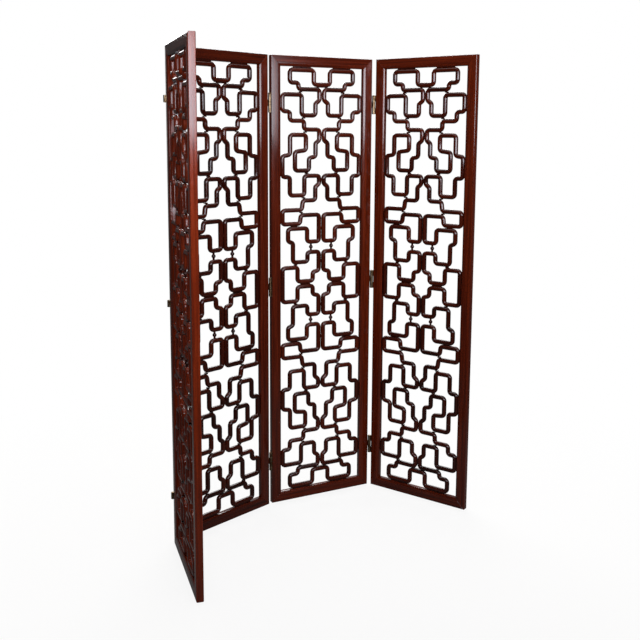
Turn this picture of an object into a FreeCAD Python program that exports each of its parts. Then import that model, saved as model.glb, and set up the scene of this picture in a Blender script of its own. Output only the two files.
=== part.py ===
import FreeCAD, Part
import Sketcher
import math
import os

Vector = FreeCAD.Vector
Rotation = FreeCAD.Rotation
Placement = FreeCAD.Placement

# Driving sizes in millimetres and degrees, each with what it measures
SIZES = [
    ("panel_height", 1829, "height of a panel, 72 inches"),
    ("panel_width", 457.2, "width of a panel, 18 inches"),
    ("panel_thickness", 25.4, "thickness of the frame members, 1 inch"),
    ("member_width", 41, "face width of a stile or rail"),
    ("round_width", 11, "how far the cushion rounding runs onto a face"),
    ("round_depth", 4.5, "how deep the cushion rounding falls at an inner edge"),
    ("edge_round", 3, "radius of the rounding along an outer edge"),
    ("tenon_thickness", 8, "thickness of the tongue inside a mitre"),
    ("tenon_inset", 10, "wood left outside the end of a tongue"),
    ("tenon_shoulder", 9, "wood left above and below a tongue"),
    ("joint_play", 0.2, "play around a tongue in its mortise"),
    ("bar_diameter", 19, "diameter of a lattice bar, 3/4 inch"),
    ("bar_bend", 12.5, "centre line radius of a lattice corner"),
    ("frame_reveal", 2.5, "gap from the outermost bars to the frame"),
    ("twin_gap", 2.5, "gap between two bars that share a tie"),
    ("touch_gap", 0.5, "gap between two bars that nearly touch"),
    ("tie_width", 12, "width of a short tie between two bars"),
    ("tie_depth", 10, "depth of a tie or pad, front to back"),
    ("bead_diameter", 16, "diameter of a turned bead"),
    ("neck_diameter", 8.5, "diameter of the neck on each side of a bead"),
    ("hinge_height", 76, "height of a hinge, 3 inches"),
    ("hinge_inset", 184, "from a panel's end to the middle of its end hinge"),
    ("fold_gap", 15, "gap between two panels laid out flat"),
    ("barrel_diameter", 13, "outside diameter of a hinge barrel"),
    ("barrel_proud", 1, "how far a barrel's axis stands in front of a face"),
    ("pin_diameter", 5, "diameter of a hinge pin"),
    ("pin_play", 0.05, "play all round a pin in its knuckles"),
    ("pin_end", 0.8, "how far a pin shows past its barrel"),
    ("knuckle_play", 0.4, "gap between two knuckles on one pin"),
    ("leaf_thickness", 2, "thickness of a hinge leaf"),
    ("leaf_margin", 4, "from a panel's face to the edge of a leaf"),
    ("link_thickness", 5, "thickness of the web between the two barrels"),
    ("screw_diameter", 4, "diameter of a screw's shank"),
    ("screw_head_diameter", 8, "diameter of a screw's head"),
    ("screw_length", 18, "length of a screw with its head"),
    ("screw_spread", 27, "distance between two screws of a leaf"),
    ("screw_play", 0.05, "play around a screw"),
    ("slot_width", 1.2, "width of the slot in a screw's head"),
    ("slot_depth", 0.7, "depth of the slot in a screw's head"),
    ("overrun", 5, "how far every cut runs past what it cuts"),
    ("heading_angle", 27.1, "angle of the third panel from the X axis"),
    ("bend_a_angle", 61.1, "bend between the first and second panel"),
    ("bend_b_angle", 19.6, "bend between the second and third panel"),
    ("bend_c_angle", 63.9, "bend between the third and fourth panel"),
]

os.makedirs("parts", exist_ok=True)
doc = FreeCAD.newDocument("FoldingScreen")
sheet = doc.addObject("Spreadsheet::Sheet", "Sizes")
for line, (alias, value, note) in enumerate(SIZES, start=1):
    sheet.set(f"A{line}", note)
    sheet.set(f"B{line}", str(value))
    sheet.setAlias(f"B{line}", alias)
doc.recompute()


class Size:
    # A size with its value and the sheet expression that gives it

    def __init__(self, value, text):
        self.value = value
        self.text = text

    def joined(self, sign, other, value):
        return Size(value, f"({self.text} {sign} {as_size(other).text})")

    def __add__(self, other):
        return self.joined("+", other, self.value + as_size(other).value)

    def __sub__(self, other):
        return self.joined("-", other, self.value - as_size(other).value)

    def __mul__(self, other):
        return self.joined("*", other, self.value * as_size(other).value)

    def __truediv__(self, other):
        return self.joined("/", other, self.value / as_size(other).value)

    def __neg__(self):
        return Size(-self.value, f"(0 - {self.text})")


def as_size(number):
    if isinstance(number, Size):
        return number
    return Size(number, repr(number))


def cell(alias):
    return Size(float(sheet.get(alias)), f"Sizes.{alias}")


zero = Size(0.0, "0")
height = cell("panel_height")
width = cell("panel_width")
thickness = cell("panel_thickness")
member = cell("member_width")
overrun = cell("overrun")
play = cell("knuckle_play")
proud = cell("barrel_proud")
barrel_radius = cell("barrel_diameter") / 2
pin_radius = cell("pin_diameter") / 2
bore_radius = pin_radius + cell("pin_play")
half_gap = cell("fold_gap") / 2
leaf = cell("leaf_thickness")
margin = cell("leaf_margin")
third = cell("hinge_height") / 3
screw_radius = cell("screw_diameter") / 2
screw_head_radius = cell("screw_head_diameter") / 2
bar_radius = cell("bar_diameter").value / 2

hinge_centres = [cell("hinge_inset"), height / 2, height - cell("hinge_inset")]
screw_steps = [-cell("screw_spread"), zero, cell("screw_spread")]
screw_heights = [centre + step for centre in hinge_centres for step in screw_steps]

# Each node's label with its object and its place in the plan
nodes = {}


def add_node(label, item, place):
    item.Label = label
    nodes[label] = (item, place)


# Plan of the screen, seen from above: the front faces look towards -Y


def turned(x, y, heading):
    # A vector of the plan, turned by a panel's heading
    angle = math.radians(heading)
    across = x * math.cos(angle) - y * math.sin(angle)
    away = x * math.sin(angle) + y * math.cos(angle)
    return Vector(across, away, 0)


def plan_place(corner, heading):
    return Placement(corner, Rotation(Vector(0, 0, 1), heading))


bends = [cell(f"bend_{fold}_angle").value for fold in "abc"]
headings = [0, 0, cell("heading_angle").value, 0]
headings[1] = headings[2] + bends[1]
headings[0] = headings[1] + bends[0]
headings[3] = headings[2] - bends[2]
corners = [None, None, Vector(0, 0, 0), None]
pin_to_right = (half_gap.value, proud.value)
right_to_left = width.value + half_gap.value
corners[3] = (
    corners[2]
    + turned(right_to_left, -proud.value, headings[2])
    + turned(*pin_to_right, headings[3])
)
for panel in (1, 0):
    corners[panel] = (
        corners[panel + 1]
        - turned(*pin_to_right, headings[panel + 1])
        - turned(right_to_left, -proud.value, headings[panel])
    )
panel_places = [plan_place(corner, heading) for corner, heading in zip(corners, headings)]


def fold_place(panel, reach):
    # A fold's own frame: X across the gap from its middle, Y from the front faces to the back
    shift = Placement(Vector(reach, 0, 0), Rotation())
    return panel_places[panel].multiply(shift)


# Sketches and solids whose sizes follow the sheet


def plane_of(body, role):
    return [item for item in body.Origin.OriginFeatures if item.Role == role][0]


def new_sketch(body, name, role):
    sketch = body.newObject("Sketcher::SketchObject", name)
    sketch.AttachmentSupport = (plane_of(body, role), [""])
    sketch.MapMode = "FlatFace"
    return sketch


def hold_point(sketch, edge, end, x, y):
    # Ties a point of the sketch to the sheet in both directions
    for kind, axis, place in (("DistanceX", -2, x), ("DistanceY", -1, y)):
        if place is zero:
            sketch.addConstraint(Sketcher.Constraint("PointOnObject", edge, end, axis))
            continue
        row = sketch.addConstraint(
            Sketcher.Constraint(kind, -1, 1, edge, end, place.value)
        )
        sketch.setExpression(f"Constraints[{row}]", place.text)


def draw_polygon(sketch, points):
    first = sketch.GeometryCount
    count = len(points)
    for step in range(count):
        start = Vector(points[step][0].value, points[step][1].value, 0)
        after = points[(step + 1) % count]
        sketch.addGeometry(Part.LineSegment(start, Vector(after[0].value, after[1].value, 0)))
    for step, (x, y) in enumerate(points):
        before = first + (step - 1) % count
        sketch.addConstraint(Sketcher.Constraint("Coincident", before, 2, first + step, 1))
        hold_point(sketch, first + step, 1, x, y)


def draw_cushion(sketch):
    # The section of a frame member, its outer edge at -X: flat faces and walls, with a shallow arc
    # between them on the inner side and a small quarter round on the outer one
    side = member / 2
    face = thickness / 2
    ease = cell("edge_round")
    fall = cell("round_depth")
    inner = side - cell("round_width")
    outer = ease - side
    points = [
        (outer, -face), (inner, -face), (side, fall - face), (side, face - fall),
        (inner, face), (outer, face), (-side, face - ease), (-side, ease - face),
    ]
    run = cell("round_width").value
    shallow = (run**2 + fall.value**2) / (2 * fall.value)
    lean = math.asin(run / shallow)
    quarter = math.pi / 2
    arcs = [
        (inner, shallow - face.value, shallow, -quarter, lean - quarter),
        (inner, face.value - shallow, shallow, quarter - lean, quarter),
        (outer, (face - ease).value, ease.value, quarter, quarter * 2),
        (outer, (ease - face).value, ease.value, quarter * 2, quarter * 3),
    ]
    for step in range(4):
        start, end = points[2 * step], points[2 * step + 1]
        sketch.addGeometry(
            Part.LineSegment(
                Vector(start[0].value, start[1].value, 0),
                Vector(end[0].value, end[1].value, 0),
            )
        )
    for x, y, radius, low, high in arcs:
        circle = Part.Circle(Vector(x.value, y, 0), Vector(0, 0, 1), radius)
        sketch.addGeometry(Part.ArcOfCircle(circle, low, high))
    for step in range(4):
        hold_point(sketch, step, 1, *points[2 * step])
        hold_point(sketch, step, 2, *points[2 * step + 1])
    for arc in range(4):
        line = arc
        after = (arc + 1) % 4
        tangent, square = (line, after) if arc % 2 == 0 else (after, line)
        own, other = (2, 1) if arc % 2 == 0 else (1, 2)
        arc_own, arc_other = (1, 2) if arc % 2 == 0 else (2, 1)
        sketch.addConstraint(
            Sketcher.Constraint("Tangent", tangent, own, 4 + arc, arc_own)
        )
        sketch.addConstraint(
            Sketcher.Constraint("Coincident", square, other, 4 + arc, arc_other)
        )


def make_member(label, length, tongued, screwed, place):
    # A mitred frame member along Z with its outer edge at -X; screwed says that it carries leaves
    body = doc.addObject("PartDesign::Body", label)
    section = new_sketch(body, "Section", "XY_Plane")
    draw_cushion(section)
    bar = body.newObject("PartDesign::Pad", "Bar")
    bar.Profile = section
    bar.setExpression("Length", length.text)
    section.Visibility = False
    doc.recompute()

    side = member / 2
    outside = -side - overrun
    inside = side + overrun
    rise = member + overrun
    mitres = new_sketch(body, "Mitres", "XZ_Plane")
    draw_polygon(mitres, [(outside, -overrun), (inside, rise), (inside, -overrun)])
    draw_polygon(
        mitres,
        [(outside, length + overrun), (inside, length + overrun), (inside, length - rise)],
    )
    ends = body.newObject("PartDesign::Pocket", "MitredEnds")
    ends.Profile = mitres
    ends.SideType = "Symmetric"
    ends.setExpression("Length", (thickness + overrun).text)
    doc.recompute()

    inset = cell("tenon_inset")
    shoulder = cell("tenon_shoulder")
    slack = cell("joint_play")
    if tongued:
        low, high = -side + shoulder, side - shoulder
        near, far = inset, member
    else:
        low, high = -side + inset - slack, inside
        near, far = shoulder - slack, member - shoulder + slack
    joints = new_sketch(body, "Joints", "XZ_Plane")
    draw_polygon(joints, [(low, near), (high, near), (high, far), (low, far)])
    draw_polygon(
        joints,
        [
            (low, length - far),
            (high, length - far),
            (high, length - near),
            (low, length - near),
        ],
    )
    kind = "PartDesign::Pad" if tongued else "PartDesign::Pocket"
    cheek = cell("tenon_thickness") if tongued else cell("tenon_thickness") + slack * 2
    joint = body.newObject(kind, "Tongues" if tongued else "Mortises")
    joint.Profile = joints
    joint.SideType = "Symmetric"
    joint.setExpression("Length", cheek.text)
    doc.recompute()

    if screwed:
        holes = new_sketch(body, "ScrewHoles", "YZ_Plane")
        radius = screw_radius + cell("screw_play")
        for step, centre in enumerate(screw_heights):
            middle = Vector(0, centre.value, 0)
            holes.addGeometry(Part.Circle(middle, Vector(0, 0, 1), radius.value))
            hold_point(holes, step, 3, zero, centre)
            row = holes.addConstraint(Sketcher.Constraint("Radius", step, radius.value))
            holes.setExpression(f"Constraints[{row}]", radius.text)
        drilled = body.newObject("PartDesign::Pocket", "Drilled")
        drilled.Profile = holes
        drilled.setExpression("Length", (side + overrun).text)
        before = joint.Shape.Volume
        outer = Vector(-side.value, 0, height.value / 2)
        doc.recompute()
        if drilled.Shape.isInside(outer + Vector(screw_radius.value, 0, 0), 0, True):
            drilled.Reversed = True
            doc.recompute()
        if not drilled.Shape.Volume < before:
            raise ValueError(f"{label}: the screw holes cut nothing")
    add_node(label, body, place)


def make_box(name, low, high):
    box = doc.addObject("Part::Box", name)
    for side, axis, start, end in zip(("Length", "Width", "Height"), "xyz", low, high):
        box.setExpression(side, (end - start).text)
        box.setExpression(f"Placement.Base.{axis}", start.text)
    return box


def make_cylinder(name, radius, x, y, low, high):
    cylinder = doc.addObject("Part::Cylinder", name)
    cylinder.setExpression("Radius", radius.text)
    cylinder.setExpression("Height", (high - low).text)
    cylinder.setExpression("Placement.Base.x", x.text)
    cylinder.setExpression("Placement.Base.y", y.text)
    cylinder.setExpression("Placement.Base.z", low.text)
    return cylinder


def lay_along(item, side, x, y, z):
    # Turns a round solid so that it runs towards side (-1 or 1) along X from the point
    item.Placement = Placement(Vector(0, 0, 0), Rotation(Vector(0, 1, 0), 90 * side))
    item.setExpression("Placement.Base.x", x.text)
    item.setExpression("Placement.Base.y", y.text)
    item.setExpression("Placement.Base.z", z.text)


def fuse(name, pieces):
    joined = doc.addObject("Part::MultiFuse", name)
    joined.Shapes = pieces
    return joined


def cut(name, base, tools):
    trimmed = doc.addObject("Part::Cut", name)
    trimmed.Base = base
    trimmed.Tool = fuse(f"{name}Tools", tools)
    return trimmed


# Lattice: one quarter of a panel, measured from its middle, then mirrored both ways

reach = width.value / 2 - member.value - cell("frame_reveal").value - bar_radius
rise = height.value / 2 - member.value - cell("frame_reveal").value - bar_radius
twin = cell("bar_diameter").value + cell("twin_gap").value
touch = cell("bar_diameter").value + cell("touch_gap").value
pair = twin / 2

# Heights of the rows that carry a tie, as shares of the rise
loop_share = 0.9356
brow_share = 0.794
sill_share = 0.729
waist_share = 0.5386
knee_share = 0.4231
heel_share = 0.354
toe_share = 0.289
hook_share = 0.1062
loop = loop_share * rise
brow = brow_share * rise
sill = sill_share * rise
waist = waist_share * rise
knee = knee_share * rise
heel = heel_share * rise
toe = toe_share * rise
hook = hook_share * rise


def across(share):
    return share * reach


def up(share):
    return share * rise


def meander():
    # The bar's centre line from the top middle down to the outer bar at mid height
    return [
        (0, loop), (across(0.208), loop), (across(0.208), rise), (across(0.812), rise),
        (across(0.812), up(0.942)), (across(0.598), up(0.942)),
        (across(0.598), loop - touch), (pair, loop - touch), (pair, up(0.8642)),
        (across(0.162), up(0.8491)), (across(0.162), brow), (across(0.515), brow),
        (across(0.515), loop - touch - twin), (reach, loop - touch - twin),
        (reach, up(0.8114)), (across(0.813), up(0.8114)), (across(0.813), brow - twin),
        (across(0.454), brow - twin), (across(0.454), sill), (pair, sill),
        (pair, up(0.6802)), (across(0.156), up(0.6651)), (across(0.156), up(0.6019)),
        (across(0.324), up(0.5984)), (across(0.324), waist), (across(0.683), waist),
        (across(0.683), up(0.6262)), (across(0.404), up(0.6332)),
        (across(0.404), sill - twin), (across(0.807), sill - twin),
        (across(0.807), up(0.6123)), (reach, up(0.6065)), (reach, up(0.5096)),
        (across(0.812), up(0.5096)), (across(0.812), knee), (across(0.442), knee),
        (across(0.442), waist - twin), (pair, waist - twin), (pair, up(0.4765)),
        (across(0.158), up(0.4602)), (across(0.158), knee - twin),
        (across(0.478), knee - twin), (across(0.507), heel), (reach, heel),
        (reach, toe), (across(0.554), toe), (across(0.531), heel - twin),
        (pair, heel - twin), (pair, up(0.2014)), (across(0.367), up(0.2014)),
        (across(0.367), toe - touch), (across(0.857), toe - touch),
        (across(0.857), up(0.2072)), (across(0.732), up(0.1979)), (across(0.732), hook),
        (across(0.356), hook), (across(0.356), up(0.1515)), (pair, up(0.1515)),
        (pair, up(0.0609)), (across(0.216), up(0.054)), (across(0.216), pair),
        (across(0.613), pair), (across(0.613), hook - twin), (reach, hook - twin),
        (reach, 0),
    ]


# Short ties: place across as a share of the reach, and the upper of the two rows
short_tie_shares = [
    (0.547, loop - touch, twin), (0.467, brow, twin), (0.427, sill, twin),
    (0.387, waist, twin), (0.467, knee, twin), (0.524, heel, twin), (0.666, hook, twin),
]
# Long ties: where those of the toe rows and the belt rows start and end, and half of the crown's
toe_tie_shares = (0.64, 0.78)
belt_tie_shares = (0.295, 0.53)
crown_tie_share = 0.125
# Ties in the middle pair of bars, and pads from the outermost bars to the frame
middle_tie_shares = [0.8892, 0.7046, 0.4951, 0.264, 0.1062]
top_pad_shares = [0.29, 0.73]
side_pad_shares = [(0.829, 0.87), (0.526, 0.59), (0.305, 0.338)]
belt_pad_share = 0.065
# Turned beads: place across, and the rows above and below, as shares
bead_share = 0.268
bead_row_shares = (0.2014, 0.1515)

mid_depth = thickness.value / 2


def lattice_point(x, z, side, level):
    # A point of the quarter, put on its side (-1 left, 1 right) and level (-1 lower, 1 upper)
    return Vector(width.value / 2 + side * x, mid_depth, height.value / 2 + level * z)


def rounded_path(points, radius):
    # Straight runs joined by tangent arcs, each as large as its runs allow
    edges = []
    start = points[0]
    for before, corner, after in zip(points, points[1:], points[2:]):
        come = (corner - before).normalize()
        leave = (after - corner).normalize()
        half_turn = come.getAngle(leave) / 2
        room_share = 0.49
        shorter = min((corner - before).Length, (after - corner).Length)
        bend = min(radius, room_share * shorter / math.tan(half_turn))
        setback = bend * math.tan(half_turn)
        enter = corner - come * setback
        leaving = corner + leave * setback
        inward = (leave - come).normalize()
        middle = corner + inward * (bend / math.cos(half_turn) - bend)
        edges.append(Part.makeLine(start, enter))
        edges.append(Part.Arc(enter, middle, leaving).toShape())
        start = leaving
    edges.append(Part.makeLine(start, points[-1]))
    return Part.Wire(edges)


def fret_bar(side, level):
    points = [lattice_point(x, z, side, level) for x, z in meander()]
    path = rounded_path(points, cell("bar_bend").value)
    ring = Part.makeCircle(bar_radius, points[0], points[1] - points[0])
    solid = path.makePipeShell([Part.Wire([ring])], True, False)
    expected = math.pi * bar_radius**2 * path.Length
    share = solid.Volume / expected
    print(f"fret bar length {path.Length:.0f} mm, volume share {share:.4f}")
    return solid


def block(x_low, x_high, z_low, z_high):
    # A block of the lattice's own depth, in the quarter's measures
    depth = cell("tie_depth").value
    corner = Vector(x_low, mid_depth - depth / 2, z_low)
    return Part.makeBox(x_high - x_low, depth, z_high - z_low, corner)


def rod_across(x_low, x_high, z):
    past = overrun.value
    start = Vector(x_low - past, mid_depth, z)
    return Part.makeCylinder(bar_radius, x_high - x_low + 2 * past, start, Vector(1, 0, 0))


def rod_up(x, z_low, z_high):
    past = overrun.value
    start = Vector(x, mid_depth, z_low - past)
    return Part.makeCylinder(bar_radius, z_high - z_low + 2 * past, start, Vector(0, 0, 1))


def tie_between_rows(x_low, x_high, z, pitch):
    piece = block(x_low, x_high, z - pitch, z)
    rods = [rod_across(x_low, x_high, z), rod_across(x_low, x_high, z - pitch)]
    return piece.cut(rods)


def quarter_ties():
    # Ties and pads of one quarter, in a frame with its zero at the middle of the panel
    half = cell("tie_width").value / 2
    wall = reach + bar_radius + cell("frame_reveal").value
    ceiling = rise + bar_radius + cell("frame_reveal").value
    solids = []
    for share, row, pitch in short_tie_shares:
        solids.append(tie_between_rows(across(share) - half, across(share) + half, row, pitch))
    low, high = [across(share) for share in toe_tie_shares]
    solids.append(tie_between_rows(low, high, toe, touch))
    low, high = [across(share) for share in top_pad_shares]
    solids.append(block(low, high, rise, ceiling).cut(rod_across(low, high, rise)))
    for shares in side_pad_shares:
        low, high = [up(share) for share in shares]
        solids.append(block(reach, wall, low, high).cut(rod_up(reach, low, high)))
    return solids


def shared_ties():
    # Ties on the panel's middle lines, each made once for both sides
    half = cell("tie_width").value / 2
    wall = reach + bar_radius + cell("frame_reveal").value
    solids = []
    for level in (-1, 1):
        for share in middle_tie_shares:
            z = level * up(share)
            piece = block(-pair, pair, z - half, z + half)
            rods = [rod_up(side * pair, z - half, z + half) for side in (-1, 1)]
            solids.append(piece.cut(rods))
        half_crown = across(crown_tie_share)
        upper = loop if level == 1 else touch - loop
        solids.append(tie_between_rows(-half_crown, half_crown, upper, touch))
    for side in (-1, 1):
        ends = sorted(side * across(share) for share in belt_tie_shares)
        solids.append(tie_between_rows(*ends, pair, twin))
        columns = sorted((side * reach, side * wall))
        half_pad = up(belt_pad_share)
        pad = block(*columns, -half_pad, half_pad)
        solids.append(pad.cut(rod_up(side * reach, -half_pad, half_pad)))
    return solids


def bead(z_low, z_high):
    # A ball between two necks, seated on the bar above and the bar below
    x = across(bead_share)
    neck = cell("neck_diameter").value / 2
    middle = Vector(x, mid_depth, (z_low + z_high) / 2)
    stem = Part.makeCylinder(neck, z_high - z_low, Vector(x, mid_depth, z_low))
    ball = Part.makeSphere(cell("bead_diameter").value / 2, middle)
    rods = [rod_across(x - neck, x + neck, z) for z in (z_low, z_high)]
    return stem.fuse(ball).cut(rods).removeSplitter()


def mirrored_both_ways(solids):
    # The four quarters made from one
    sideways = [solid.mirror(Vector(0, 0, 0), Vector(1, 0, 0)) for solid in solids]
    upper = solids + sideways
    lower = [solid.mirror(Vector(0, 0, 0), Vector(0, 0, 1)) for solid in upper]
    return upper + lower


frets = {
    "upper_left": fret_bar(-1, 1),
    "upper_right": fret_bar(1, 1),
    "lower_left": fret_bar(-1, -1),
    "lower_right": fret_bar(1, -1),
}
bead_rows = [up(share) for share in sorted(bead_row_shares)]
centred_groups = {
    "ties": Part.makeCompound(mirrored_both_ways(quarter_ties()) + shared_ties()),
    "beads": Part.makeCompound(mirrored_both_ways([bead(*bead_rows)])),
}


def make_panel(number):
    place = panel_places[number - 1]
    side = member.value / 2
    middle = thickness.value / 2
    upright = Rotation()
    about = Rotation(Vector(0, 0, 1), 180)
    along = Rotation(Vector(0, 0, 1), Vector(0, -1, 0), Vector(1, 0, 0), "XYZ")
    under = Rotation(Vector(0, 0, -1), Vector(0, 1, 0), Vector(1, 0, 0), "XYZ")
    seats = {
        "stile_left": (Vector(side, middle, 0), upright),
        "stile_right": (Vector(width.value - side, middle, 0), about),
        "rail_bottom": (Vector(0, middle, side), along),
        "rail_top": (Vector(0, middle, height.value - side), under),
    }
    for name, (base, turn) in seats.items():
        tongued = name.startswith("rail")
        length = width if tongued else height
        screwed = (name == "stile_left" and number > 1) or (name == "stile_right" and number < 4)
        seat = place.multiply(Placement(base, turn))
        make_member(f"panel_{number}_{name}", length, tongued, screwed, seat)
    centre = Placement(Vector(width.value / 2, 0, height.value / 2), Rotation())
    groups = [(f"fret_{name}", solid, place) for name, solid in frets.items()]
    groups += [(name, shape, place.multiply(centre)) for name, shape in centred_groups.items()]
    for name, shape, seat in groups:
        item = doc.addObject("Part::Feature", f"panel_{number}_{name}")
        item.Shape = shape.copy()
        add_node(f"panel_{number}_{name}", item, seat)


# Hinges: a leaf on each panel's edge and a link between them, in a fold's own frame

front = -proud
back = thickness + proud
link_low = third + play / 2
link_high = third * 2 - play / 2
fork_shares = (1.25, 1.75)
fork_low = third * fork_shares[0]
fork_high = third * fork_shares[1]


def hinge_feet():
    return [centre - cell("hinge_height") / 2 for centre in hinge_centres]


def screw_cone(name, side, slack, z):
    # The countersunk head, wide end at the leaf's bare face
    cone = doc.addObject("Part::Cone", name)
    cone.setExpression("Radius1", (screw_head_radius + slack).text)
    cone.setExpression("Radius2", (screw_radius + slack).text)
    cone.setExpression("Height", leaf.text)
    lay_along(cone, side, (half_gap - leaf) * side, thickness / 2, z)
    return cone


def make_leaf(label, side, knuckles, place):
    # Plates on the panel's edge at side, each with knuckles (low, high) round one of the two axes
    y_pin = back if side < 0 else front
    inner = (half_gap - leaf) * side
    outer = half_gap * side
    x_low, x_high = (outer, inner) if side < 0 else (inner, outer)
    far = thickness - margin
    solids = []
    holes = []
    for foot in hinge_feet():
        top = foot + cell("hinge_height")
        solids.append(make_box("Plate", (x_low, margin, foot), (x_high, far, top)))
        for low, high in knuckles:
            start, end = foot + low, foot + high
            y_low, y_high = (far - leaf, y_pin) if side < 0 else (y_pin, margin + leaf)
            solids.append(make_box("Neck", (x_low, y_low, start), (x_high, y_high, end)))
            solids.append(make_cylinder("Knuckle", barrel_radius, zero, y_pin, start, end))
            holes.append(
                make_cylinder(
                    "Bore", bore_radius, zero, y_pin, start - overrun, end + overrun
                )
            )
    for z in screw_heights:
        holes.append(screw_cone("Countersink", side, cell("screw_play"), z))
    add_node(label, cut(label, fuse(f"{label}_body", solids), holes), place)


def make_links(label, place):
    # Each link is a web with a whole knuckle on the front axis and a forked one on the back axis
    solids = []
    holes = []
    for foot in hinge_feet():
        low, high = foot + link_low, foot + link_high
        half_web = cell("link_thickness") / 2
        solids.append(make_box("Web", (-half_web, front, low), (half_web, back, high)))
        solids.append(make_cylinder("FrontKnuckle", barrel_radius, zero, front, low, high))
        solids.append(make_cylinder("BackKnuckle", barrel_radius, zero, back, low, high))
        holes.append(
            make_cylinder(
                "Fork", barrel_radius + play, zero, back, foot + fork_low, foot + fork_high
            )
        )
        for y_pin in (front, back):
            holes.append(
                make_cylinder("Bore", bore_radius, zero, y_pin, low - overrun, high + overrun)
            )
    add_node(label, cut(label, fuse(f"{label}_body", solids), holes), place)


def make_pins(label, place):
    # A long pin through each front barrel and a short one through each back barrel
    past = cell("pin_end")
    pins = []
    for foot in hinge_feet():
        top = foot + cell("hinge_height")
        low, high = foot + link_low, foot + link_high
        pins.append(make_cylinder("LongPin", pin_radius, zero, front, foot - past, top + past))
        pins.append(make_cylinder("ShortPin", pin_radius, zero, back, low - past, high + past))
    add_node(label, fuse(label, pins), place)


def make_screws(label, side, place):
    # Countersunk slotted screws through a leaf into the edge of the stile
    solids = []
    slots = []
    half_slot = cell("slot_width") / 2
    for z in screw_heights:
        solids.append(screw_cone("Head", side, zero, z))
        shank = doc.addObject("Part::Cylinder", "Shank")
        shank.setExpression("Radius", screw_radius.text)
        shank.setExpression("Height", (cell("screw_length") - leaf).text)
        lay_along(shank, side, half_gap * side, thickness / 2, z)
        solids.append(shank)
        inner = half_gap - leaf
        ends = sorted(
            ((inner - overrun) * side, (inner + cell("slot_depth")) * side),
            key=lambda end: end.value,
        )
        low = (ends[0], margin, z - half_slot)
        high = (ends[1], thickness - margin, z + half_slot)
        slots.append(make_box("Slot", low, high))
    add_node(label, cut(label, fuse(f"{label}_body", solids), slots), place)


def make_hinges(fold, left_panel):
    # The link and its pins lie against the left panel's edge; the right panel turns on the long pins
    left = fold_place(left_panel, right_to_left)
    right = fold_place(left_panel + 1, -half_gap.value)
    short = [(fork_low + play / 2, fork_high - play / 2)]
    long = [(zero, third - play / 2), (third * 2 + play / 2, third * 3)]
    make_leaf(f"hinge_{fold}_leaf_left", -1, short, left)
    make_leaf(f"hinge_{fold}_leaf_right", 1, long, right)
    make_links(f"hinge_{fold}_links", left)
    make_pins(f"hinge_{fold}_pins", left)
    make_screws(f"hinge_{fold}_screws_left", -1, left)
    make_screws(f"hinge_{fold}_screws_right", 1, right)
    for name, y in (("front", front), ("back", back)):
        axis = left.multVec(Vector(0, y.value, 0))
        axes[f"fold_{fold}_{name}"] = axis


axes = {}
for number in (1, 2, 3, 4):
    make_panel(number)
for left_panel, fold in enumerate("abc"):
    make_hinges(fold, left_panel)

# The origin is on the floor, in the middle of the ground that the screen covers
for item, place in nodes.values():
    item.Placement = place
doc.recompute()
ground = FreeCAD.BoundBox()
for item, place in nodes.values():
    ground.add(item.Shape.BoundBox)
shift = Vector(-ground.Center.x, -ground.Center.y, 0)
for item, place in nodes.values():
    item.Placement = Placement(shift, Rotation()).multiply(place)
doc.recompute()

for item in doc.Objects:
    if "Invalid" in item.State or "Error" in item.State:
        raise ValueError(f"{item.Label} failed: {item.State}")
for label, (item, place) in nodes.items():
    if item.Shape.isNull() or not item.Shape.isValid():
        raise ValueError(f"{label} has no valid shape")
for label, (item, place) in nodes.items():
    item.Shape.exportStep(f"parts/{label}.step")

print("nodes", len(nodes))
print("box", ground.XLength, ground.YLength, ground.ZLength)
print("shift", shift.x, shift.y)
for name, axis in axes.items():
    print("axis", name, round((axis + shift).x, 4), round((axis + shift).y, 4))
for number, place in enumerate(panel_places, start=1):
    base = place.Base + shift
    print("panel", number, round(base.x, 4), round(base.y, 4), round(headings[number - 1], 3))
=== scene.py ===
import math

import bmesh
import bpy
import numpy as np
from mathutils import Matrix, Vector


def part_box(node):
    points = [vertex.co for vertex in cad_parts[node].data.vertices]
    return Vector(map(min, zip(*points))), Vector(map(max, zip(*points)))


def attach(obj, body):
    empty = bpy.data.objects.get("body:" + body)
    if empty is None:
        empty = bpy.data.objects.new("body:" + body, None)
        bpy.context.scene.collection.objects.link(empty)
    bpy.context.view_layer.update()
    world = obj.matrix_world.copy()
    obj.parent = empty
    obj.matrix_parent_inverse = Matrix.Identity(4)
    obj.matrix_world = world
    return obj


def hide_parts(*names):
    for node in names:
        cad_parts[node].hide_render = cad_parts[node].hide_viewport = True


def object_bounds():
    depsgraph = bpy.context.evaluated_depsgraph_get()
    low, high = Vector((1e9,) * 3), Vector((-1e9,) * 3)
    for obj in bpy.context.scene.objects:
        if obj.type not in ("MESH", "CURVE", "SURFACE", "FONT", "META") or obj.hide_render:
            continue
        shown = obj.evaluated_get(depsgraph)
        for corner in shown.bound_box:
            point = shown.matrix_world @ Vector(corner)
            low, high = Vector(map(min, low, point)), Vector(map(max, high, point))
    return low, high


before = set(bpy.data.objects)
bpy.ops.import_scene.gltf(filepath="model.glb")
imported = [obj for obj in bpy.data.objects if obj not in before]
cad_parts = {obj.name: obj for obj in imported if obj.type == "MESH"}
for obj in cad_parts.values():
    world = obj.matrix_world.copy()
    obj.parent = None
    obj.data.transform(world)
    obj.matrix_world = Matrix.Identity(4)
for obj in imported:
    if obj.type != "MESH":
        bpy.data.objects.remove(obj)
cadBox = [list(corner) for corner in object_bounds()]
bpy.ops.object.select_all(action="DESELECT")
print("frame loaded:", len(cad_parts), "nodes")


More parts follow.
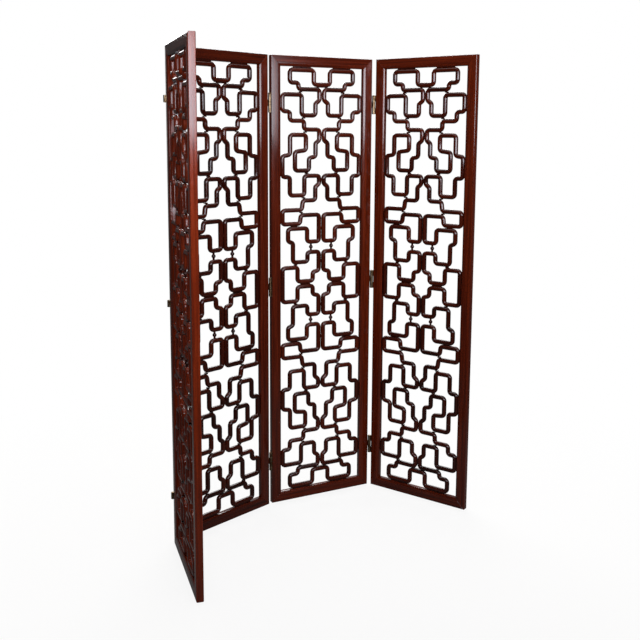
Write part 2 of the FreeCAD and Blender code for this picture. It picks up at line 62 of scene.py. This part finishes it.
# Camera, placed where the four panels' corners fall on their places in the photograph
cameraSettings = {
    "place": (-0.0555, -3.2512, 1.5282),   # m
    "yaw": -0.467,      # degrees, to the left
    "pitch": 8.246,     # degrees, downwards
    "roll": 0.281,
    "lens": 50.046,     # mm
    "sensor": 36,       # mm
    "shift": -0.0906,   # share of the sensor's width
}


def makeCamera(settings):
    data = bpy.data.cameras.new("camera")
    data.lens = settings["lens"]
    data.sensor_width = settings["sensor"]
    data.shift_y = settings["shift"]
    camera = bpy.data.objects.new("camera", data)
    turn = Matrix.Rotation(math.radians(settings["yaw"]), 4, "Z")
    tilt = Matrix.Rotation(math.radians(90 - settings["pitch"]), 4, "X")
    roll = Matrix.Rotation(math.radians(settings["roll"]), 4, "Z")
    camera.matrix_world = Matrix.Translation(settings["place"]) @ turn @ tilt @ roll
    bpy.context.scene.collection.objects.link(camera)
    bpy.context.scene.camera = camera


makeCamera(cameraSettings)
print("camera placed")


# Material helpers
def linear(code):
    # A colour written as sRGB hex, such as "5a261a", made linear
    parts = [int(code[i:i + 2], 16) / 255 for i in (0, 2, 4)]
    return [c / 12.92 if c <= 0.04045 else ((c + 0.055) / 1.055) ** 2.4 for c in parts] + [1.0]


def addNode(tree, kind, settings=None, links=None):
    # A node with its properties or input values, and the sockets that feed its inputs
    node = tree.nodes.new(kind)
    for key, value in (settings or {}).items():
        if key == "stops":
            for spot, (position, code) in enumerate(value):
                ramp = node.color_ramp.elements
                stop = ramp[spot] if spot < 2 else ramp.new(position)
                stop.position = position
                stop.color = linear(code)
        elif isinstance(key, int) or key in node.inputs:
            node.inputs[key].default_value = value
        else:
            setattr(node, key, value)
    for key, socket in (links or {}).items():
        tree.links.new(socket, node.inputs[key])
    return node


def remap(tree, value, span, target, curve="LINEAR"):
    # Maps a value from its span onto the target span, and holds it there
    return addNode(
        tree, "ShaderNodeMapRange",
        {"interpolation_type": curve, "From Min": span[0], "From Max": span[1],
         "To Min": target[0], "To Max": target[1]},
        {"Value": value},
    ).outputs["Result"]


def scaled(tree, colour, factor):
    return addNode(
        tree, "ShaderNodeVectorMath", {"operation": "SCALE"}, {0: colour, "Scale": factor}
    ).outputs[0]


noiseSpan = (0.3, 0.7)   # where a noise texture's values mostly lie


def newMaterial(name):
    material = bpy.data.materials.new(name)
    material.use_nodes = True
    tree = material.node_tree
    return material, tree, tree.nodes["Principled BSDF"]


# Rosewood under a rubbed film of clear lacquer: dark open-grained wood, streaked along its
# length, with a gloss that shows the light as a soft band along every rounded edge
rosewoodSettings = {
    "streakWidth": 7.0,     # mm, across the grain
    "streakLength": 260.0,  # mm
    "poreWidth": 0.9,       # mm; real pores are 0.2 mm wide, too fine to show
    "poreLength": 14.0,     # mm
    "poreSpan": (0.3, 0.42),    # of the pores' noise, from inside a pore to its rim
    "poreShade": 0.6,           # brightness inside a pore
    "poreDepth": 0.00012,       # m
    "poreBump": 0.35,
    "darkVein": (0.3, "2d0a03"),   # each colour with its place in the streaks' noise
    "heart": (0.5, "431103"),
    "pale": (0.72, "561b07"),
    "boardTones": (0.3, 3.1),   # brightness at the tone attribute's 0 and 1
    "blockTones": (0.2, 0.7),   # and at 0 and 1 of the noise that tones ties and beads
    "blockPatches": 9.0,        # to a metre
    "rough": (0.08, 0.17),
    "lacquerIndex": 1.45,
}


def makeRosewood(name, settings, byAttribute):
    # byAttribute: the piece carries its own grain direction; otherwise the grain stands upright
    material, tree, shader = newMaterial(name)
    if byAttribute:
        source = addNode(tree, "ShaderNodeAttribute", {"attribute_name": "grain"}).outputs["Vector"]
        tone = addNode(tree, "ShaderNodeAttribute", {"attribute_name": "tone"}).outputs["Fac"]
        across, tones = (1, 0, 0), settings["boardTones"]
    else:
        source = addNode(tree, "ShaderNodeTexCoord").outputs["Object"]
        tone = addNode(
            tree, "ShaderNodeTexNoise", {"Scale": settings["blockPatches"], "Detail": 1.0},
            {"Vector": source},
        ).outputs["Fac"]
        across, tones = (0, 0, 1), settings["blockTones"]

    def stretched(length, width):
        scale = [1000 / (length if along else width) for along in across]
        return addNode(tree, "ShaderNodeMapping", {"Scale": scale}, {"Vector": source}).outputs[0]

    streaks = addNode(
        tree, "ShaderNodeTexNoise", {"Scale": 1.0, "Detail": 5.0, "Roughness": 0.62},
        {"Vector": stretched(settings["streakLength"], settings["streakWidth"])},
    ).outputs["Fac"]
    pores = addNode(
        tree, "ShaderNodeTexNoise", {"Scale": 1.0, "Detail": 2.0, "Roughness": 0.5},
        {"Vector": stretched(settings["poreLength"], settings["poreWidth"])},
    ).outputs["Fac"]
    colours = addNode(
        tree, "ShaderNodeValToRGB",
        {"stops": [settings["darkVein"], settings["pale"], settings["heart"]]}, {"Fac": streaks},
    )
    poreMask = remap(tree, pores, settings["poreSpan"], (settings["poreShade"], 1))
    toned = scaled(tree, colours.outputs["Color"], remap(tree, tone, (0, 1), tones))
    bump = addNode(
        tree, "ShaderNodeBump",
        {"Strength": settings["poreBump"], "Distance": settings["poreDepth"]}, {"Height": poreMask},
    )
    rough = remap(tree, streaks, noiseSpan, settings["rough"])
    tree.links.new(scaled(tree, toned, poreMask), shader.inputs["Base Color"])
    tree.links.new(rough, shader.inputs["Roughness"])
    tree.links.new(bump.outputs["Normal"], shader.inputs["Normal"])
    shader.inputs["IOR"].default_value = settings["lacquerIndex"]
    return material


# Cast and rolled brass, darkened by handling: warm yellow where it is rubbed, brown in the
# hollows, with a satin gloss
brassSettings = {
    "brown": (0.3, "45321f"),   # each colour with its place in the patches' noise
    "dull": (0.46, "6c5840"),
    "bright": (0.68, "a08e74"),
    "patchSize": 11.0,          # mm
    "rough": (0.5, 0.28),       # in the brown and in the bright patches
}


def makeBrass(name, settings):
    material, tree, shader = newMaterial(name)
    source = addNode(tree, "ShaderNodeTexCoord").outputs["Object"]
    patches = addNode(
        tree, "ShaderNodeTexNoise",
        {"Scale": 1000 / settings["patchSize"], "Detail": 4.0, "Roughness": 0.6},
        {"Vector": source},
    ).outputs["Fac"]
    colours = addNode(
        tree, "ShaderNodeValToRGB",
        {"stops": [settings["brown"], settings["bright"], settings["dull"]]}, {"Fac": patches},
    )
    rough = remap(tree, patches, noiseSpan, settings["rough"])
    tree.links.new(colours.outputs["Color"], shader.inputs["Base Color"])
    tree.links.new(rough, shader.inputs["Roughness"])
    shader.inputs["Metallic"].default_value = 1.0
    return material


lacqueredRosewood = makeRosewood("lacqueredRosewood", rosewoodSettings, True)
lacqueredRosewoodBlock = makeRosewood("lacqueredRosewoodBlock", rosewoodSettings, False)
handledBrass = makeBrass("handledBrass", brassSettings)
print("materials made")


# The screen's plan, in metres: each panel's own frame has x along it, y through it and z up, from
# its lower left front corner
screen = {
    "headings": (107.8, 46.7, 27.1, -36.8),  # degrees from +X, seen from above
    "width": 0.4572,
    "height": cadBox[1][2],
    "thickness": 0.0254,
    "member": 0.041,
    "reveal": 0.0025,        # from the outermost bars to the frame
}


def panelPlace(number):
    low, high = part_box(f"panel_{number}_rail_bottom")
    centre = (low + high) / 2
    turn = Matrix.Rotation(math.radians(screen["headings"][number - 1]), 4, "Z")
    middle = Vector((screen["width"] / 2, screen["thickness"] / 2, 0))
    return Matrix.Translation((centre.x, centre.y, 0)) @ turn @ Matrix.Translation(-middle)


# Modelling helpers
def enterEdit():
    bpy.ops.object.mode_set(mode="EDIT")
    bpy.ops.mesh.select_mode(type="EDGE")


def pickEdges(test):
    # Selects the edges of the mesh in edit mode whose two ends pass the test
    mesh = bpy.context.object.data
    shape = bmesh.from_edit_mesh(mesh)
    for edge in shape.edges:
        edge.select_set(False)
    for edge in shape.edges:
        if test(edge.verts[0].co, edge.verts[1].co):
            edge.select_set(True)
    shape.select_flush_mode()
    bmesh.update_edit_mesh(mesh)


def leaveEdit(smoothAngle):
    bpy.ops.object.mode_set(mode="OBJECT")
    piece = bpy.context.object
    bpy.ops.object.shade_smooth_by_angle(angle=math.radians(smoothAngle))
    piece.select_set(False)
    return piece


def setAttribute(mesh, name, kind, values):
    attribute = mesh.attributes.get(name) or mesh.attributes.new(name, kind, "POINT")
    key = "vector" if kind == "FLOAT_VECTOR" else "value"
    attribute.data.foreach_set(key, np.asarray(values, np.float32).ravel())


def vertexPlaces(mesh):
    places = np.zeros(len(mesh.vertices) * 3, np.float32)
    mesh.vertices.foreach_get("co", places)
    return places.reshape(-1, 3)


# Every copy is cut from another place in the wood
copySettings = {
    "grainShift": 5.0,   # m, either way
    "toneShift": 0.04,
}


def copyPiece(master, name, place, seed, paler):
    # A copy with its own mesh at its place; the seed shifts its grain and tone, and paler is
    # added to the tone
    mesh = master.data.copy()
    mesh.name = name
    mesh.transform(place)
    piece = bpy.data.objects.new(name, mesh)
    bpy.context.scene.collection.objects.link(piece)
    draw = np.random.default_rng(seed)
    far, jitter = copySettings["grainShift"], copySettings["toneShift"]
    grain = np.zeros(len(mesh.vertices) * 3, np.float32)
    mesh.attributes["grain"].data.foreach_get("vector", grain)
    setAttribute(mesh, "grain", "FLOAT_VECTOR", grain.reshape(-1, 3) + draw.uniform(-far, far, 3))
    tone = np.zeros(len(mesh.vertices), np.float32)
    mesh.attributes["tone"].data.foreach_get("value", tone)
    tone = np.clip(tone + draw.uniform(-jitter, jitter), 0, 1) + paler
    setAttribute(mesh, "tone", "FLOAT", tone)
    return piece


def dropMaster(master):
    mesh = master.data
    bpy.data.objects.remove(master)
    bpy.data.meshes.remove(mesh)


def standFor(piece, number, node, material):
    piece.data.materials.clear()
    piece.data.materials.append(material)
    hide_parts(node)
    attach(piece, f"panel_{number}")


# Frame members: planed, their faces rounded off towards the lattice in a shallow cushion, mitred
memberSettings = {
    "roundAcross": 0.011,
    "roundDeep": 0.0045,
    "roundSteps": 8,
    "edgeRound": 0.003,  # radius, along the outer edges
    "edgeSteps": 6,
    "seam": 0.0005,      # the eased edge of the mitre
    "weld": 0.00001,     # points closer than this become one
    "smoothAngle": 30,   # degrees
    "tone": 0.36,
    "boardToneAndPaintedLight": {     # added to the tone of single boards: partly their own tone, partly painted light on boards that catch more light, such as panel 1's free end, and painted shade on boards that catch less
        "stile_left_1": 0.55, "stile_right_1": 0.2, "rail_top_1": -0.1, "rail_bottom_2": -0.12,
        "rail_bottom_3": 0.1, "stile_right_3": 0.08, "stile_right_2": 0.05, "rail_top_2": -0.12,
        "stile_left_4": 0.12, "rail_bottom_1": 0.15,
    },
}


def makeMember(length):
    # Stands on z = 0 with its outer edge at x = 0 and its front at y = 0. Its section is drawn all
    # round from the front face: inner arc, wall, inner arc, back face, outer round, wall and round
    width, depth, ease = screen["member"], screen["thickness"], memberSettings["edgeRound"]
    across, deep = memberSettings["roundAcross"], memberSettings["roundDeep"]
    flat = width - across - ease
    radius = (across ** 2 + deep ** 2) / (2 * deep)
    lean = math.asin(across / radius)
    bpy.ops.mesh.primitive_plane_add(
        size=1, location=(ease + flat / 2, 0, length / 2), rotation=(math.pi / 2, 0, 0)
    )
    member = bpy.context.object
    member.scale = (flat, length, 1)
    bpy.ops.object.transform_apply(location=True, rotation=True, scale=True)
    enterEdit()
    pickEdges(lambda a, b: min(a.x, b.x) > ease + flat / 2)

    def roundOff(steps, angle, x, y):
        bpy.ops.mesh.spin(steps=steps, angle=angle, center=(x, y, 0), axis=(0, 0, -1))

    def goAlong(x, y):
        bpy.ops.mesh.extrude_edges_move(TRANSFORM_OT_translate={"value": (x, y, 0)})

    roundOff(memberSettings["roundSteps"], lean, ease + flat, radius)
    goAlong(0, depth - 2 * deep)
    roundOff(memberSettings["roundSteps"], lean, ease + flat, depth - radius)
    goAlong(-flat, 0)
    roundOff(memberSettings["edgeSteps"], math.pi / 2, ease, depth - ease)
    goAlong(0, 2 * ease - depth)
    roundOff(memberSettings["edgeSteps"], math.pi / 2, ease, ease)
    bpy.ops.mesh.select_all(action="SELECT")
    bpy.ops.mesh.remove_doubles(threshold=memberSettings["weld"])
    bpy.ops.mesh.normals_make_consistent(inside=False)
    for corner, normal in (((0, 0, 0), (1, 0, -1)), ((0, 0, length), (1, 0, 1))):
        bpy.ops.mesh.select_all(action="SELECT")
        bpy.ops.mesh.bisect(plane_co=corner, plane_no=normal, use_fill=True, clear_outer=True)
        bpy.ops.mesh.region_to_loop()
        bpy.ops.mesh.bevel(offset=memberSettings["seam"], segments=1, affect="EDGES")
    member = leaveEdit(memberSettings["smoothAngle"])
    places = vertexPlaces(member.data)
    setAttribute(member.data, "grain", "FLOAT_VECTOR", places[:, [2, 0, 1]])
    setAttribute(member.data, "tone", "FLOAT", np.full(len(places), memberSettings["tone"]))
    return member


def makeFrames():
    width, height, depth = screen["width"], screen["height"], screen["thickness"]
    turnAbout = Matrix.Translation((width, depth, 0)) @ Matrix.Rotation(math.pi, 4, "Z")
    layDown = Matrix(((0, 0, 1, 0), (0, -1, 0, depth), (1, 0, 0, 0), (0, 0, 0, 1)))
    lift = Matrix.Translation((width, 0, height)) @ Matrix.Rotation(math.pi, 4, "Y")
    stile, rail = makeMember(height), makeMember(width)
    seats = {
        "stile_left": (stile, Matrix.Identity(4)),
        "stile_right": (stile, turnAbout),
        "rail_bottom": (rail, layDown),
        "rail_top": (rail, lift @ layDown),
    }
    for number in (1, 2, 3, 4):
        for spot, (name, (master, seat)) in enumerate(seats.items()):
            board = f"{name}_{number}"
            place = panelPlace(number) @ seat
            # paler carries the board's own tone and its painted light and shade
            paler = memberSettings["boardToneAndPaintedLight"].get(board, 0)
            piece = copyPiece(master, board, place, number * 10 + spot, paler)
            standFor(piece, number, f"panel_{number}_{name}", lacqueredRosewood)
    dropMaster(stile)
    dropMaster(rail)
    print("frames made: 16 members")


makeFrames()


# Lattice bars: one quarter of a panel is one bar, measured from the panel's middle. Places are
# shares of the reach (across) and of the rise (up); twins are rows of bars a fixed pitch apart
barSettings = {
    "radius": 0.0095,
    "bend": 0.0125,      # of the bar's centre line
    "roomShare": 0.49,   # of the shorter run that a bend may take
    "sides": 20,
    "bendStep": 15,      # degrees
    "twin": 0.0215,      # m, from one bar's centre line to its twin's
    "touch": 0.0195,     # the same for bars that all but touch
    "smoothAngle": 40,   # degrees
    # tone: painted shade, the bars toned darker than the frame members of the same wood; the spread
    # is the wood's own tone from run to run
    "tone": 0.13,
    "toneSpread": 0.22,
    "toneSeed": 7,
    "toneRuns": 100,     # tones drawn, more than a bar has runs
    "palerPanels": (0.42, 0.0, 0.05, 0.0),   # added to the tone of each panel's bars
}
rowShares = {
    "loop": 0.9356, "brow": 0.794, "sill": 0.729, "waist": 0.5386,
    "knee": 0.4231, "heel": 0.354, "toe": 0.289, "hook": 0.1062,
}


def meander():
    # The bar's centre line from the top middle down to the outer bar at mid height
    inset = screen["member"] + screen["reveal"] + barSettings["radius"]
    reach = screen["width"] / 2 - inset
    rise = screen["height"] / 2 - inset
    loop, brow, sill, waist, knee, heel, toe, hook = rowShares.values()
    twin, touch = barSettings["twin"] / rise, barSettings["touch"] / rise
    pair = barSettings["twin"] / reach / 2
    half = twin / 2
    route = [
        (0, loop), (0.208, loop), (0.208, 1), (0.812, 1), (0.812, 0.942), (0.598, 0.942),
        (0.598, loop - touch), (pair, loop - touch), (pair, 0.8642), (0.162, 0.8491),
        (0.162, brow), (0.515, brow), (0.515, loop - touch - twin), (1, loop - touch - twin),
        (1, 0.8114), (0.813, 0.8114), (0.813, brow - twin), (0.454, brow - twin), (0.454, sill),
        (pair, sill), (pair, 0.6802), (0.156, 0.6651), (0.156, 0.6019), (0.324, 0.5984),
        (0.324, waist), (0.683, waist), (0.683, 0.6262), (0.404, 0.6332), (0.404, sill - twin),
        (0.807, sill - twin), (0.807, 0.6123), (1, 0.6065), (1, 0.5096), (0.812, 0.5096),
        (0.812, knee), (0.442, knee), (0.442, waist - twin), (pair, waist - twin),
        (pair, 0.4765), (0.158, 0.4602), (0.158, knee - twin), (0.478, knee - twin),
        (0.507, heel), (1, heel), (1, toe), (0.554, toe), (0.531, heel - twin),
        (pair, heel - twin), (pair, 0.2014), (0.367, 0.2014), (0.367, toe - touch),
        (0.857, toe - touch), (0.857, 0.2072), (0.732, 0.1979), (0.732, hook), (0.356, hook),
        (0.356, 0.1515), (pair, 0.1515), (pair, 0.0609), (0.216, 0.054), (0.216, half),
        (0.613, half), (0.613, hook - twin), (1, hook - twin), (1, 0),
    ]
    return route, reach, rise


def traceBar(route, reach, rise):
    # The corners, runs and bends of the centre line, in the panel's own frame
    lift = Vector((screen["width"] / 2, screen["thickness"] / 2, screen["height"] / 2))
    corners = [lift + Vector((x * reach, 0, z * rise)) for x, z in route]
    runs = [b - a for a, b in zip(corners, corners[1:])]
    bends = []
    for spot, (run, ahead) in enumerate(zip(runs, runs[1:])):
        turn = run.angle(ahead)
        shorter = barSettings["roomShare"] * min(run.length, ahead.length)
        radius = min(barSettings["bend"], shorter / math.tan(turn / 2))
        side = run.normalized().cross(ahead).normalized().cross(run.normalized())
        cut = radius * math.tan(turn / 2)
        start = corners[spot + 1] - run.normalized() * cut
        bends.append({"start": start, "turn": turn, "radius": radius, "side": side})
    return corners, runs, bends


def makeQuarter():
    # A circle drawn out along the centre line; each ring of the bar is noted as (distance along,
    # centre, heading, run)
    corners, runs, bends = traceBar(*meander())
    bpy.ops.mesh.primitive_circle_add(
        vertices=barSettings["sides"], radius=barSettings["radius"], fill_type="NGON",
        location=corners[0], rotation=(0, math.pi / 2, 0),
    )
    bpy.ops.object.transform_apply(location=True, rotation=True, scale=True)
    bpy.ops.object.mode_set(mode="EDIT")
    here, travelled = corners[0], 0.0
    rings = [(0.0, here.copy(), runs[0].normalized(), 0)]
    for number, bend in enumerate(bends):
        step = bend["start"] - here
        bpy.ops.mesh.extrude_region_move(TRANSFORM_OT_translate={"value": step})
        travelled += step.length
        heading = runs[number].normalized()
        rings.append((travelled, bend["start"].copy(), heading, number))
        centre = bend["start"] + bend["side"] * bend["radius"]
        axis = heading.cross(bend["side"])
        steps = max(2, round(math.degrees(bend["turn"]) / barSettings["bendStep"]))
        bpy.ops.mesh.spin(steps=steps, angle=bend["turn"], center=centre, axis=-axis)
        for part in range(1, steps + 1):
            turned = Matrix.Rotation(bend["turn"] * part / steps, 3, axis)
            here = centre + turned @ (bend["start"] - centre)
            far = travelled + bend["radius"] * bend["turn"] * part / steps
            rings.append((far, here.copy(), turned @ heading, number + part / steps))
        travelled += bend["radius"] * bend["turn"]
    step = corners[-1] - here
    bpy.ops.mesh.extrude_region_move(TRANSFORM_OT_translate={"value": step})
    rings.append((travelled + step.length, corners[-1], runs[-1].normalized(), len(bends)))
    bpy.ops.mesh.select_all(action="SELECT")
    bpy.ops.mesh.normals_make_consistent(inside=False)
    quarter = leaveEdit(barSettings["smoothAngle"])
    noteGrain(quarter.data, rings)
    return quarter


def noteGrain(mesh, rings):
    # The grain follows the bar: distance along, then the place across it; each run has a tone
    sides = barSettings["sides"]
    places = vertexPlaces(mesh).reshape(len(rings), sides, 3)
    centres = np.array([ring[1] for ring in rings])[:, None]
    headings = np.array([ring[2] for ring in rings])
    across = np.cross(headings, (0, 1, 0))[:, None]
    offsets = places - centres
    grain = np.zeros_like(places)
    grain[:, :, 0] = np.array([ring[0] for ring in rings])[:, None]
    grain[:, :, 1] = (offsets * across).sum(axis=2)
    grain[:, :, 2] = offsets[:, :, 1]
    setAttribute(mesh, "grain", "FLOAT_VECTOR", grain)
    draw = np.random.default_rng(barSettings["toneSeed"])
    shifts = draw.uniform(-0.5, 0.5, barSettings["toneRuns"])
    tones = barSettings["tone"] + barSettings["toneSpread"] * shifts
    tone = np.interp([ring[3] for ring in rings], range(len(tones)), tones)
    setAttribute(mesh, "tone", "FLOAT", np.repeat(tone, sides))


def mirrorPiece(master, side, level):
    # A mirrored copy about the middle of the panel, its faces turned outwards again
    mirrored = bpy.data.objects.new("mirrored", master.data.copy())
    bpy.context.scene.collection.objects.link(mirrored)
    bpy.context.view_layer.objects.active = mirrored
    mirrored.select_set(True)
    bpy.ops.object.mode_set(mode="EDIT")
    bpy.ops.mesh.select_all(action="SELECT")
    middle = (screen["width"] / 2, screen["thickness"] / 2, screen["height"] / 2)
    bpy.ops.transform.resize(value=(side, 1, level), center_override=middle)
    bpy.ops.mesh.normals_make_consistent(inside=False)
    bpy.ops.object.mode_set(mode="OBJECT")
    mirrored.select_set(False)
    return mirrored


def makeLattices():
    # Seeds 0 to 3 of each panel's ten are its members', so the bars' start at 4
    quarter = makeQuarter()
    for spot, (level, side) in enumerate(((1, -1), (1, 1), (-1, -1), (-1, 1)), 4):
        name = ("fret_upper_" if level > 0 else "fret_lower_") + ("right" if side > 0 else "left")
        master = mirrorPiece(quarter, side, level)
        for number in (1, 2, 3, 4):
            place, paler = panelPlace(number), barSettings["palerPanels"][number - 1]
            piece = copyPiece(master, f"{name}_bar_{number}", place, number * 10 + spot, paler)
            standFor(piece, number, f"panel_{number}_{name}", lacqueredRosewood)
        dropMaster(master)
    print("lattices made: 16 bars of", len(quarter.data.polygons), "faces")
    dropMaster(quarter)


makeLattices()


# The CAD nodes that stay get their materials
def dressNodes():
    for name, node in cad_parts.items():
        if name.endswith(("_ties", "_beads")):
            material = lacqueredRosewoodBlock
        elif name.startswith("hinge_"):
            material = handledBrass
        else:
            continue
        node.data.materials.clear()
        node.data.materials.append(material)


dressNodes()
print("hinges, ties and beads dressed")


# Studio: a pale paper floor that turns into the backdrop, and four soft lights, one behind the
# screen, two in front and one overhead. The room is white behind the screen and dim on the viewer's
# side. The camera sees plain white whichever way it looks, and the wood mirrors less than half of it
studioSettings = {
    "floorColour": "f5f3f0",
    "floorSize": 80.0,
    "floorRoughness": 0.9,
    "floorGloss": 0.1,
    "paperNear": 0.9,       # m from the middle, where the floor starts to turn into backdrop
    "paperFar": 2.2,
    "paperGlow": 0.87,      # share of the backdrop's white in the floor under the screen
    "backdropStart": 1.2,   # m behind the middle, where the white backdrop begins on the floor
    "behind": 0.45,         # brightness of the white backdrop, as it is mirrored
    "beside": 0.06,         # and of the rest of the room
    "spill": 0.8,           # share of that brightness that lights dull surfaces
    "backdropTurn": 9,      # degrees that the white backdrop's middle lies to the right
    "backdropWhole": 29.5,  # degrees to each side that are wholly white
    "backdropEdge": 33,     # degrees to each side where it ends
    "lamps": {              # metres, watts and degrees; honeycomb grids narrow the spread
        "rearSoftbox": {
            "place": (-0.4, 3.4, 2.9), "aim": (0, 0.2, 0.9), "size": (3.6, 1.2),
            "power": 55, "spread": 120, "colour": "ffffff",
        },
        "frontSoftbox": {
            "place": (0.9, -2.6, 2.2), "aim": (0.3, 0.3, 1.95), "size": (4.4, 1.4),
            "power": 34, "spread": 100, "colour": "f4f5ff",
        },
        "frontStripLight": {
            "place": (0.9, -2.62, 1.78), "aim": (0.3, 0.3, 1.75), "size": (4.4, 0.6),
            "power": 21, "spread": 100, "colour": "f4f5ff",
        },
        "overheadSoftbox": {
            "place": (0, 0.2, 4.2), "aim": (0, 0, 0), "size": (5.0, 4.0),
            "power": 112, "spread": 180, "colour": "ffffff",
        },
    },
}


def backdropTone(tree, rays, direction, settings):
    # The room's brightness in a direction, by its angle from the middle of the white backdrop.
    # Mirrored rays meet it, dull surfaces get their share of it, and the camera sees white
    level = addNode(
        tree, "ShaderNodeVectorMath", {"operation": "MULTIPLY", 1: (1, 1, 0)}, {0: direction}
    )
    unit = addNode(tree, "ShaderNodeVectorMath", {"operation": "NORMALIZE"}, {0: level.outputs[0]})
    turn = math.radians(settings["backdropTurn"])
    ahead = addNode(
        tree, "ShaderNodeVectorMath",
        {"operation": "DOT_PRODUCT", 1: (math.sin(turn), math.cos(turn), 0)}, {0: unit.outputs[0]},
    )
    edges = [math.cos(math.radians(settings[key])) for key in ("backdropEdge", "backdropWhole")]
    tones = (settings["beside"], settings["behind"])
    tone = remap(tree, ahead.outputs["Value"], edges, tones, "SMOOTHSTEP")
    share = remap(tree, rays.outputs["Is Glossy Ray"], (0, 1), (settings["spill"], 1))
    room = addNode(tree, "ShaderNodeMath", {"operation": "MULTIPLY"}, {0: tone, 1: share})
    straight = addNode(
        tree, "ShaderNodeMath", {"operation": "MAXIMUM"},
        {0: rays.outputs["Is Camera Ray"], 1: rays.outputs["Is Transmission Ray"]},
    )
    return addNode(
        tree, "ShaderNodeMath", {"operation": "MAXIMUM"},
        {0: room.outputs[0], 1: straight.outputs[0]},
    ).outputs[0]


def makeFloor(settings):
    bpy.ops.mesh.primitive_plane_add(size=settings["floorSize"], location=(0, 0, 0))
    floor = bpy.context.object
    floor.name = "floor"
    material, tree, shader = newMaterial("paleStudioPaper")
    shader.inputs["Base Color"].default_value = linear(settings["floorColour"])
    shader.inputs["Roughness"].default_value = settings["floorRoughness"]
    shader.inputs["Specular IOR Level"].default_value = settings["floorGloss"]
    place = addNode(tree, "ShaderNodeTexCoord").outputs["Object"]
    away = addNode(tree, "ShaderNodeVectorMath", {"operation": "LENGTH"}, {0: place})
    paperSpan = (settings["paperNear"], settings["paperFar"])
    fade = remap(tree, away.outputs["Value"], paperSpan, (settings["paperGlow"], 1), "SMOOTHSTEP")
    rays = addNode(tree, "ShaderNodeLightPath")
    beyond = addNode(
        tree, "ShaderNodeVectorMath",
        {"operation": "SUBTRACT", 1: (0, settings["backdropStart"], 0)}, {0: place},
    )
    backdrop = addNode(
        tree, "ShaderNodeEmission", {},
        {"Strength": backdropTone(tree, rays, beyond.outputs[0], settings)},
    )
    paper = addNode(
        tree, "ShaderNodeMixShader", {},
        {0: fade, 1: shader.outputs[0], 2: backdrop.outputs[0]},
    )
    tree.links.new(paper.outputs[0], tree.nodes["Material Output"].inputs["Surface"])
    floor.data.materials.append(material)
    floor.select_set(False)


def makeLamp(name, settings):
    data = bpy.data.lights.new(name, "AREA")
    data.shape = "RECTANGLE"
    data.size, data.size_y = settings["size"]
    data.energy = settings["power"]
    data.color = linear(settings["colour"])[:3]
    data.spread = math.radians(settings["spread"])
    lamp = bpy.data.objects.new(name, data)
    place = Vector(settings["place"])
    aim = (Vector(settings["aim"]) - place).to_track_quat("-Z", "Y").to_matrix().to_4x4()
    lamp.matrix_world = Matrix.Translation(place) @ aim
    lamp.visible_camera = False
    bpy.context.scene.collection.objects.link(lamp)


def makeWorld(settings):
    world = bpy.data.worlds.new("studio")
    world.use_nodes = True
    tree = world.node_tree
    background = tree.nodes["Background"]
    direction = addNode(tree, "ShaderNodeTexCoord").outputs["Generated"]
    rays = addNode(tree, "ShaderNodeLightPath")
    tree.links.new(backdropTone(tree, rays, direction, settings), background.inputs["Strength"])
    background.inputs["Color"].default_value = (1, 1, 1, 1)
    bpy.context.scene.world = world


makeFloor(studioSettings)
for lampName, lampSettings in studioSettings["lamps"].items():
    makeLamp(lampName, lampSettings)
makeWorld(studioSettings)
bpy.context.scene.view_settings.view_transform = "Standard"
print("studio lit")
